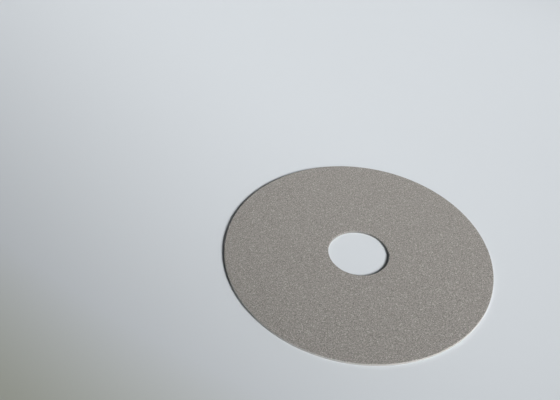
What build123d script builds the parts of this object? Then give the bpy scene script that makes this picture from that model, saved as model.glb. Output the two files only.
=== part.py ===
"""Sintered metal filter disc: a thin, flat, porous metal ring cut from one plate.

Units are millimetres. The disc lies flat: +Z is its axis and points up. The
origin is the centre of the bore, on the lower face.
"""

import os

from build123d import *

# Driving dimensions
outer_diameter = 150.0
bore_diameter = 34.0
thickness = 1.5

# Small round left on every cut edge when the burr is taken off
edge_radius = 0.15


def disc_section():
    """Half of the disc's cross-section, in the XZ plane, with its corners rounded."""
    inner = bore_diameter / 2
    outer = outer_diameter / 2
    with BuildSketch(Plane.XZ) as section:
        with Locations((inner, 0)):
            Rectangle(outer - inner, thickness, align=(Align.MIN, Align.MIN))
        fillet(section.vertices(), edge_radius)
    return section.sketch


def filter_disc():
    """The whole disc: its section turned once about its own axis."""
    with BuildPart() as disc:
        add(disc_section())
        revolve(axis=Axis.Z)
    return disc.part


os.makedirs("parts", exist_ok=True)
export_step(filter_disc(), "parts/filter_disc.step")
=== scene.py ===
"""Sintered metal filter disc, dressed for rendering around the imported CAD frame.

Everything is in metres in the shared frame: the disc lies on the floor with its
axis along +Z and the centre of its bore, on the lower face, at the origin.
"""

import math
from collections import namedtuple

import bpy
from mathutils import Matrix, Vector, noise


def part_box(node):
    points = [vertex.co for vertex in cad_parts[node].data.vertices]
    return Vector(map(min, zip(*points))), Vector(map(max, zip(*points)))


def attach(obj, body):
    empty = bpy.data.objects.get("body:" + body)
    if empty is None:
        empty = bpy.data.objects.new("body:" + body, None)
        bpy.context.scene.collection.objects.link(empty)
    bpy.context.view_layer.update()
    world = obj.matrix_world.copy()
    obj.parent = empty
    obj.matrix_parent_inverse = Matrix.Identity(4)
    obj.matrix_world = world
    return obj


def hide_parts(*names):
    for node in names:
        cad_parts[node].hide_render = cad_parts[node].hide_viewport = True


MM = 0.001

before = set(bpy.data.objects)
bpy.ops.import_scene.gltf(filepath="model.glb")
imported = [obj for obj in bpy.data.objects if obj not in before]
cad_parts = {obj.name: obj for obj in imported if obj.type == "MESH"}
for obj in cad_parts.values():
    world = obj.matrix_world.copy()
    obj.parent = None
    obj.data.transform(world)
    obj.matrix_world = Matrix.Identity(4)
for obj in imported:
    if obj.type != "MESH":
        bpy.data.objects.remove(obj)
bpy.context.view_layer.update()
disc_low, disc_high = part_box("filter_disc")

# The disc's main sizes. The outer radius and the thickness are read from the frame,
# and the radius is the least of the box's four, so that no grain stands out of the box.
OUTER_RADIUS = min(disc_high.x, disc_high.y, -disc_low.x, -disc_low.y)
THICKNESS = disc_high.z - disc_low.z
BORE_RADIUS = 17.0 * MM
EDGE_RADIUS = 0.15 * MM


# Mesh of the disc


# Points round one ring: at the rim, half-way in and at the bore
RIM_POINTS = 1920
MIDDLE_POINTS = 960
BORE_POINTS = 480

# Where the rings of a face lie, in millimetres: out from the bore's wall, then from the axis
BORE_STEPS = (0.5, 1.0, 2.0, 3.5, 5.5, 8.0, 11.0, 14.0, 17.0, 20.0)
MIDDLE_RADII = range(40, 71, 3)
RIM_RADII = (72.0, 73.0, 74.0, 74.5)

# How many bands of faces make up a rounded corner and a cut wall
CORNER_BANDS = 4
WALL_BANDS = 8

# Where the cut of the bore starts and ends: a shallow notch, the sharper the higher its power
NOTCH_ANGLE = math.radians(2.0)
NOTCH_DEPTH = 0.35 * MM
NOTCH_HALF_WIDTH = 1.4 * MM
NOTCH_REACH = 2.5 * MM
NOTCH_POWER = 1.4

# How far the grain pulls the surface in, at most
FACE_RELIEF = 0.012 * MM
WALL_RELIEF = 0.05 * MM
CORNER_RELIEF = 0.13 * MM

# The relief's pattern, as shares of the most: its mean, and how far grains and clumps swing it
MEAN_DEPTH = 0.30
GRAIN_SIZE = 0.45 * MM
GRAIN_SWING = 0.75
CLUMP_SIZE = 1.3 * MM
CLUMP_SWING = 0.35
CLUMP_SHIFT = Vector((11.0, 5.0, 3.0))

# The skin's materials, by their place on its mesh
ON_FACE = 0
ON_RIM = 1
ON_BORE = 2

# A ring of so many points. Outward is where the surface faces there: from the axis, and up.
Ring = namedtuple("Ring", "radius height points outward relief")


def section_rings():
    """The closed half-section of the disc, one ring for each of its points."""
    rings = []

    def face(spots, height, up):
        for radius, points in spots:
            rings.append(Ring(radius, height, points, (0.0, up), FACE_RELIEF))

    def corner(radius, height, start, end, points):
        for step in range(1, CORNER_BANDS):
            turn = math.radians(start + (end - start) * step / CORNER_BANDS)
            out = (math.cos(turn), math.sin(turn))
            rings.append(Ring(
                radius + EDGE_RADIUS * out[0],
                height + EDGE_RADIUS * out[1],
                points, out, CORNER_RELIEF,
            ))

    def wall(radius, start, end, out, points):
        for step in range(WALL_BANDS + 1):
            height = start + (end - start) * step / WALL_BANDS
            rings.append(Ring(radius, height, points, (out, 0.0), WALL_RELIEF))

    inner = BORE_RADIUS + EDGE_RADIUS
    outer = OUTER_RADIUS - EDGE_RADIUS
    spots = [(inner, BORE_POINTS)]
    spots += [(BORE_RADIUS + step * MM, BORE_POINTS) for step in BORE_STEPS]
    spots += [(radius * MM, MIDDLE_POINTS) for radius in MIDDLE_RADII]
    spots += [(radius * MM, RIM_POINTS) for radius in RIM_RADII]
    spots += [(outer, RIM_POINTS)]

    low = EDGE_RADIUS
    high = THICKNESS - EDGE_RADIUS
    face(spots, THICKNESS, 1.0)
    corner(outer, high, 90, 0, RIM_POINTS)
    wall(OUTER_RADIUS, high, low, 1.0, RIM_POINTS)
    corner(outer, low, 0, -90, RIM_POINTS)
    face(spots[::-1], 0.0, -1.0)
    corner(inner, low, 270, 180, BORE_POINTS)
    wall(BORE_RADIUS, low, high, -1.0, BORE_POINTS)
    corner(inner, high, 180, 90, BORE_POINTS)
    return rings


def grain_depth(point):
    """From 0 to 1: how far the grain has pulled away at a point."""
    fine = noise.noise(point / GRAIN_SIZE)
    coarse = noise.noise(point / CLUMP_SIZE + CLUMP_SHIFT)
    return min(1.0, max(0.0, MEAN_DEPTH + GRAIN_SWING * fine + CLUMP_SWING * coarse))


def notch_depth(angle, radius):
    """The pointed notch in the bore's wall, which dies out a little way into the face."""
    away = abs((angle - NOTCH_ANGLE + math.pi) % (2 * math.pi) - math.pi) * BORE_RADIUS
    share = max(0.0, 1.0 - away / NOTCH_HALF_WIDTH)
    fade = max(0.0, 1.0 - (radius - BORE_RADIUS) / NOTCH_REACH)
    return NOTCH_DEPTH * share ** NOTCH_POWER * fade


def ring_points(ring):
    """The points of one ring, pulled in by the grain and, near the bore, moved by the notch."""
    placed = []
    for step in range(ring.points):
        angle = 2 * math.pi * step / ring.points
        radial = Vector((math.cos(angle), math.sin(angle), 0.0))
        point = radial * ring.radius + Vector((0.0, 0.0, ring.height))
        outward = radial * ring.outward[0] + Vector((0.0, 0.0, ring.outward[1]))
        point -= outward * (ring.relief * grain_depth(point))
        if ring.radius < BORE_RADIUS + NOTCH_REACH:
            point += radial * notch_depth(angle, ring.radius)
        placed.append(point)
    return placed


def stitch(first, first_count, second, second_count):
    """Faces between two rings, where one has as many points as the other or twice as many."""
    faces = []
    if first_count == second_count:
        for step in range(first_count):
            ahead = (step + 1) % first_count
            faces.append((first + step, second + step, second + ahead, first + ahead))
        return faces
    turned = first_count > second_count
    if turned:
        first, first_count, second, second_count = second, second_count, first, first_count
    for step in range(first_count):
        ahead = (step + 1) % first_count
        near = second + 2 * step
        middle = near + 1
        far = second + (2 * step + 2) % second_count
        fan = [
            (first + step, near, middle),
            (first + step, middle, first + ahead),
            (first + ahead, middle, far),
        ]
        if turned:
            fan = [triangle[::-1] for triangle in fan]
        faces += fan
    return faces


def disc_mesh():
    rings = section_rings()
    points = []
    starts = []
    for ring in rings:
        starts.append(len(points))
        points += ring_points(ring)
    faces = []
    materials = []
    for index, ring in enumerate(rings):
        next_index = (index + 1) % len(rings)
        next_ring = rings[next_index]
        band = stitch(starts[index], ring.points, starts[next_index], next_ring.points)
        material = ON_FACE
        if ring.outward[1] == 0.0 and next_ring.outward[1] == 0.0:
            material = ON_BORE if ring.radius == BORE_RADIUS else ON_RIM
        faces += band
        materials += [material] * len(band)
    mesh = bpy.data.meshes.new("filter_disc_skin")
    mesh.from_pydata([tuple(point) for point in points], [], faces)
    mesh.polygons.foreach_set("use_smooth", [True] * len(faces))
    mesh.polygons.foreach_set("material_index", materials)
    mesh.validate()
    mesh.update()
    return mesh


# Materials


class Nodes:
    """A short way to build a node tree."""

    # Where a mix node keeps its sockets for colours, among its inputs and outputs
    MIX_SHARE = 0
    MIX_FIRST = 6
    MIX_SECOND = 7
    MIX_RESULT = 2

    def __init__(self, tree):
        self.tree = tree
        tree.nodes.clear()

    def add(self, kind, **settings):
        node = self.tree.nodes.new(kind)
        for name, value in settings.items():
            setattr(node, name, value)
        return node

    def put(self, socket, value):
        """Links an output to a socket, or sets the socket to a number, colour or vector."""
        if isinstance(value, bpy.types.NodeSocket):
            self.tree.links.new(value, socket)
        else:
            socket.default_value = value

    def math(self, operation, first, second, clamp=False):
        node = self.add("ShaderNodeMath", operation=operation, use_clamp=clamp)
        self.put(node.inputs[0], first)
        self.put(node.inputs[1], second)
        return node.outputs[0]

    def times(self, first, second):
        return self.math("MULTIPLY", first, second)

    def plus(self, first, second, clamp=False):
        return self.math("ADD", first, second, clamp)

    def minus(self, first, second):
        return self.math("SUBTRACT", first, second)

    def mix_colour(self, share, first, second):
        node = self.add("ShaderNodeMix", data_type="RGBA")
        self.put(node.inputs[self.MIX_SHARE], share)
        self.put(node.inputs[self.MIX_FIRST], first)
        self.put(node.inputs[self.MIX_SECOND], second)
        return node.outputs[self.MIX_RESULT]

    def map_range(self, value, span, result, kind="LINEAR"):
        """Goes from the first number of the result to the second as the value crosses the span."""
        node = self.add("ShaderNodeMapRange", interpolation_type=kind)
        for socket, number in zip(node.inputs, (value, *span, *result)):
            self.put(socket, number)
        return node.outputs[0]

    def fade(self, value, span, result=(0.0, 1.0)):
        """The same as map_range, but it starts and ends softly."""
        return self.map_range(value, span, result, "SMOOTHSTEP")

    def noise(self, place, scale, detail, rough=0.5):
        node = self.add("ShaderNodeTexNoise", noise_dimensions="3D")
        self.put(node.inputs["Vector"], place)
        self.put(node.inputs["Scale"], scale)
        self.put(node.inputs["Detail"], detail)
        self.put(node.inputs["Roughness"], rough)
        return node.outputs["Fac"]

    def place_mm(self, scale=(1000.0, 1000.0, 1000.0)):
        """The point's place on the piece, in millimetres, stretched if the scale is uneven."""
        where = self.add("ShaderNodeTexCoord")
        mapping = self.add("ShaderNodeMapping", vector_type="POINT")
        self.put(mapping.inputs["Vector"], where.outputs["Object"])
        self.put(mapping.inputs["Scale"], scale)
        return mapping.outputs["Vector"]

    def bump(self, height, strength, distance):
        node = self.add("ShaderNodeBump")
        self.put(node.inputs["Strength"], strength)
        self.put(node.inputs["Distance"], distance)
        self.put(node.inputs["Height"], height)
        return node.outputs["Normal"]

    def finish(self, **looks):
        """Gives the material one shader, whose sockets get the named numbers or outputs."""
        shader = self.add("ShaderNodeBsdfPrincipled")
        for name, value in looks.items():
            self.put(shader.inputs[name.replace("_", " ")], value)
        out = self.add("ShaderNodeOutputMaterial")
        self.put(out.inputs["Surface"], shader.outputs[0])


def new_material(name):
    material = bpy.data.materials.new(name)
    material.use_nodes = True
    return material, Nodes(material.node_tree)


# Colours of the faces: two grain tones, painted shade for the pores and a painted glint
FACE_DARK = (0.273, 0.259, 0.242, 1.0)
FACE_BRIGHT = (0.566, 0.538, 0.503, 1.0)
FACE_PORE_SHADE = (0.101, 0.096, 0.090, 1.0)
FACE_PAINTED_GLINT = (0.830, 0.795, 0.750, 1.0)

# How many of them go to a millimetre: grains, crumbs on the grains, and clumps of grains.
# The clumps' noise seldom leaves its span, which is stretched to all of 0 to 1.
GRAINS_PER_MM = 2.3
CRUMBS_PER_MM = 3.2
CLUMPS_PER_MM = 1.3
CLUMP_SPAN = (0.3, 0.7)

# What makes up the height of a spot on the face, and between which heights a pore closes
DOME_HEIGHT = 0.7
CRUMB_HEIGHT = 0.9
FACE_PORE_SPAN = (0.72, 0.98)

# What makes a spot on the face light or dark, in shares that add up to 1
GRAIN_SHADE = 0.25
CRUMB_SHADE = 0.35
CLUMP_SHADE = 0.40

# One grain in ten gets a painted glint, and how much the pores' painted shade and the glints take
# of the colour
PAINTED_GLINT_SPAN = (0.90, 1.0)
FACE_PORE_SHADE_SHARE = 0.6
PAINTED_GLINT_SHARE = 0.5

# The pores scatter part of the light evenly, so the face is only partly metallic.
# Its roughness goes from that of the darkest grain to that of the brightest.
FACE_METALLIC = 0.6
FACE_ROUGHNESS = (0.95, 0.85)
FACE_BUMP = {"strength": 0.6, "distance": 0.05 * MM}


def sintered_face():
    """Warm grey grains fused together, with painted shade in the small pores between them and a
    painted glint on a few tops.
    """
    material, nodes = new_material("sintered_face")
    place = nodes.place_mm()

    grains = nodes.add("ShaderNodeTexVoronoi", voronoi_dimensions="3D", feature="F1")
    nodes.put(grains.inputs["Vector"], place)
    nodes.put(grains.inputs["Scale"], GRAINS_PER_MM)
    crumbs = nodes.noise(place, CRUMBS_PER_MM, detail=3.0, rough=0.6)
    clumps = nodes.noise(place, CLUMPS_PER_MM, detail=0.0)
    clumps = nodes.map_range(clumps, CLUMP_SPAN, (0.0, 1.0))

    # Each grain's own tone, and its own chance of a painted glint
    split = nodes.add("ShaderNodeSeparateColor")
    nodes.put(split.inputs[0], grains.outputs["Color"])
    shade = split.outputs[0]
    painted_glint = nodes.map_range(split.outputs[1], PAINTED_GLINT_SPAN, (0.0, 1.0))

    dome = nodes.minus(1.0, nodes.math("POWER", grains.outputs["Distance"], 2.0))
    height = nodes.plus(nodes.times(dome, DOME_HEIGHT), nodes.times(crumbs, CRUMB_HEIGHT))
    pore = nodes.fade(height, FACE_PORE_SPAN, (1.0, 0.0))

    level = nodes.plus(nodes.times(shade, GRAIN_SHADE), nodes.times(crumbs, CRUMB_SHADE))
    level = nodes.plus(level, nodes.times(clumps, CLUMP_SHADE), clamp=True)
    colour = nodes.mix_colour(level, FACE_DARK, FACE_BRIGHT)
    # Painted shade: the pores are darkened in the colour
    colour = nodes.mix_colour(nodes.times(pore, FACE_PORE_SHADE_SHARE), colour, FACE_PORE_SHADE)
    # Painted highlight: a few grain tops are brightened in the colour as glints
    colour = nodes.mix_colour(nodes.times(painted_glint, PAINTED_GLINT_SHARE), colour, FACE_PAINTED_GLINT)

    nodes.finish(
        Base_Color=colour,
        Metallic=FACE_METALLIC,
        Roughness=nodes.map_range(shade, (0.0, 1.0), FACE_ROUGHNESS),
        Normal=nodes.bump(height, **FACE_BUMP),
    )
    return material


# Colours of the two cut walls; the bore's darker pair is painted shade, and so is the pore colour
RIM_DARK = (0.42, 0.405, 0.38, 1.0)
RIM_BRIGHT = (0.58, 0.565, 0.54, 1.0)
BORE_SHADED_DARK = (0.23, 0.222, 0.206, 1.0)
BORE_SHADED_BRIGHT = (0.33, 0.322, 0.303, 1.0)
WALL_PORE_SHADE = (0.16, 0.15, 0.13, 1.0)

# Fine lines run round a wall: noise drawn out sideways and pressed together up the wall
LINE_STRETCH = (60.0, 60.0, 9000.0)
LINE_HEIGHT = 0.25

# The open grain between the lines, and how much the painted shade of its pores takes of the colour
WALL_GRAINS_PER_MM = 2.6
WALL_PORE_SPAN = (0.30, 0.42)
WALL_PORE_SHADE_SHARE = 0.55

# The torn grain of a cut scatters the light almost evenly, so the wall is only half metallic.
# Its roughness goes from that of the smeared metal to that of the pores.
WALL_METALLIC = 0.5
WALL_ROUGHNESS = (0.62, 0.8)
WALL_BUMP = {"strength": 0.35, "distance": 0.03 * MM}


def cut_wall(name, dark, bright):
    """A cut wall: the same metal smeared smoother, with fine lines round it and open pores, whose
    darkness is painted shade.
    """
    material, nodes = new_material(name)
    lines = nodes.noise(nodes.place_mm(LINE_STRETCH), 1.0, detail=3.0, rough=0.6)
    grains = nodes.noise(nodes.place_mm(), WALL_GRAINS_PER_MM, detail=2.0, rough=0.6)
    pore = nodes.fade(grains, WALL_PORE_SPAN, (1.0, 0.0))
    height = nodes.plus(nodes.times(lines, LINE_HEIGHT), grains)

    colour = nodes.mix_colour(lines, dark, bright)
    # Painted shade: the pores are darkened in the colour
    colour = nodes.mix_colour(nodes.times(pore, WALL_PORE_SHADE_SHARE), colour, WALL_PORE_SHADE)

    nodes.finish(
        Base_Color=colour,
        Metallic=WALL_METALLIC,
        Roughness=nodes.map_range(pore, (0.0, 1.0), WALL_ROUGHNESS),
        Normal=nodes.bump(height, **WALL_BUMP),
    )
    return material


# The pool that the key light makes on the floor. Its fade is in shares of its half-size.
POOL_MIDDLE = (-0.071, 0.316, 0.0)
POOL_TURN = (0.0, 0.0, math.radians(-42.6))
POOL_HALF_SIZE = (0.62, 0.365, 1.0)
POOL_FADE = (0.53, 1.674)

# The floor's colour in the pool and its painted shade where the pool ends, and the part of the fade
# the shade comes in over
FLOOR_LIT = (0.633, 0.665, 0.694, 1.0)
FLOOR_PAINTED_SHADE = (0.564, 0.584, 0.511, 1.0)
PAINTED_SHADE_SPAN = (0.27, 0.49)

# How far from the middle of the view the floor starts to glow, and glows in full
VIEW_MIDDLE = (-0.03, 0.13, 0.0)
GLOW_SPAN = (0.268, 0.355)
FLOOR_GLOW = (0.55, 0.58, 0.605, 1.0)


def floor_material():
    """A smooth pale sheet, faintly cool, with painted shade, a little darker and warmer, where the
    key's pool ends.
    """
    material, nodes = new_material("pale_floor")
    where = nodes.add("ShaderNodeTexCoord")
    pool = nodes.add("ShaderNodeMapping", vector_type="TEXTURE")
    nodes.put(pool.inputs["Vector"], where.outputs["Object"])
    nodes.put(pool.inputs["Location"], POOL_MIDDLE)
    nodes.put(pool.inputs["Rotation"], POOL_TURN)
    nodes.put(pool.inputs["Scale"], POOL_HALF_SIZE)
    reach = nodes.add("ShaderNodeVectorMath", operation="LENGTH")
    nodes.put(reach.inputs[0], pool.outputs["Vector"])
    unlit = nodes.fade(reach.outputs["Value"], POOL_FADE)

    # Well away from the disc the floor glows as the pool fades, and so stays pale from any side
    away = nodes.add("ShaderNodeVectorMath", operation="DISTANCE")
    nodes.put(away.inputs[0], where.outputs["Object"])
    nodes.put(away.inputs[1], VIEW_MIDDLE)
    outside = nodes.fade(away.outputs["Value"], GLOW_SPAN)
    inside = nodes.minus(1.0, outside)
    # Painted shade: near the disc the floor's colour turns darker and warmer as the pool fades
    painted_shade = nodes.times(nodes.map_range(unlit, PAINTED_SHADE_SPAN, (0.0, 1.0)), inside)

    nodes.finish(
        Base_Color=nodes.mix_colour(painted_shade, FLOOR_LIT, FLOOR_PAINTED_SHADE),
        Roughness=1.0,
        Specular_IOR_Level=0.0,
        Emission_Color=FLOOR_GLOW,
        Emission_Strength=nodes.times(unlit, outside),
    )
    return material


# Scene


# The floor lies just under the disc and reaches far past the view
FLOOR_HALF = 4.0
FLOOR_HEIGHT = -0.02 * MM

# The key light: a soft square panel, high up at the front right
KEY_PLACE = Vector((0.671, -0.374, 0.732))
KEY_TARGET = Vector((-0.112, 0.349, 0.0))
KEY_SIZE = 0.7
KEY_WATTS = 2.72
KEY_SPREAD = math.radians(28.4)

# The room's pale band: between which heights it ends, how much it rises at the back, and how
# bright it and the room above it are
BAND_SPAN = (0.1, 0.3)
BAND_RISE = 0.25
BAND_STRENGTH = 1.0
ROOM_STRENGTH = 0.02
ROOM_COLOUR = (0.61, 0.64, 0.665, 1.0)

# The photograph's view, solved from the outlines of the disc's rim and bore
CAMERA_PLACE = Vector((-46.46, -300.79, 308.75)) * MM
CAMERA_PITCH = math.radians(42.25)
CAMERA_ROLL = math.radians(-5.255)
CAMERA_LENS = 49.4
SENSOR_WIDTH = 36.0
NEAREST_SEEN = 0.01


def link(thing, matrix=None):
    """Puts a mesh, a lamp or a camera into the scene, as an object of the same name."""
    made = bpy.data.objects.new(thing.name, thing)
    bpy.context.scene.collection.objects.link(made)
    if matrix is not None:
        made.matrix_world = matrix
    return made


def add_disc():
    mesh = disc_mesh()
    mesh.materials.append(sintered_face())
    mesh.materials.append(cut_wall("cut_rim", RIM_DARK, RIM_BRIGHT))
    # The bore's wall is the same cut metal with painted shade: its colours are darker than the
    # rim's
    mesh.materials.append(cut_wall("cut_bore_shaded", BORE_SHADED_DARK, BORE_SHADED_BRIGHT))
    disc = link(mesh)
    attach(disc, "root")
    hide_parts("filter_disc")


def add_floor():
    signs = ((-1, -1), (1, -1), (1, 1), (-1, 1))
    corners = [(FLOOR_HALF * x, FLOOR_HALF * y, FLOOR_HEIGHT) for x, y in signs]
    mesh = bpy.data.meshes.new("floor")
    mesh.from_pydata(corners, [], [(0, 1, 2, 3)])
    mesh.materials.append(floor_material())
    floor = link(mesh)


def add_key_light():
    """The narrow spread fades the panel's light away from its target, as a grid does."""
    lamp = bpy.data.lights.new("key", "AREA")
    lamp.size = KEY_SIZE
    lamp.spread = KEY_SPREAD
    lamp.energy = KEY_WATTS
    turn = (KEY_TARGET - KEY_PLACE).to_track_quat("-Z", "Y")
    link(lamp, Matrix.Translation(KEY_PLACE) @ turn.to_matrix().to_4x4())


def add_world():
    """A dim room with a pale band low down all round it, which stands higher at the back."""
    world = bpy.data.worlds.new("studio")
    world.use_nodes = True
    nodes = Nodes(world.node_tree)
    where = nodes.add("ShaderNodeTexCoord")
    split = nodes.add("ShaderNodeSeparateXYZ")
    nodes.put(split.inputs[0], where.outputs["Generated"])
    rise = nodes.times(nodes.math("MAXIMUM", split.outputs["Y"], 0.0), BAND_RISE)
    height = nodes.minus(split.outputs["Z"], rise)
    strength = nodes.fade(height, BAND_SPAN, (BAND_STRENGTH, ROOM_STRENGTH))
    room = nodes.add("ShaderNodeBackground")
    nodes.put(room.inputs["Color"], ROOM_COLOUR)
    nodes.put(room.inputs["Strength"], strength)
    out = nodes.add("ShaderNodeOutputWorld")
    nodes.put(out.inputs["Surface"], room.outputs[0])
    bpy.context.scene.world = world


def add_camera():
    """Looks along +Y and down by the pitch, then rolls about its own line of sight."""
    ahead = Vector((0.0, math.cos(CAMERA_PITCH), -math.sin(CAMERA_PITCH)))
    level = Vector((1.0, 0.0, 0.0))
    down = ahead.cross(level)
    right = math.cos(CAMERA_ROLL) * level + math.sin(CAMERA_ROLL) * down
    up = math.sin(CAMERA_ROLL) * level - math.cos(CAMERA_ROLL) * down
    matrix = Matrix((right, up, -ahead)).transposed().to_4x4()
    matrix.translation = CAMERA_PLACE
    lens = bpy.data.cameras.new("camera")
    lens.sensor_width = SENSOR_WIDTH
    lens.lens = CAMERA_LENS
    lens.clip_start = NEAREST_SEEN
    bpy.context.scene.camera = link(lens, matrix)


add_disc()
add_floor()
add_key_light()
add_world()
add_camera()
bpy.context.scene.view_settings.view_transform = "Standard"
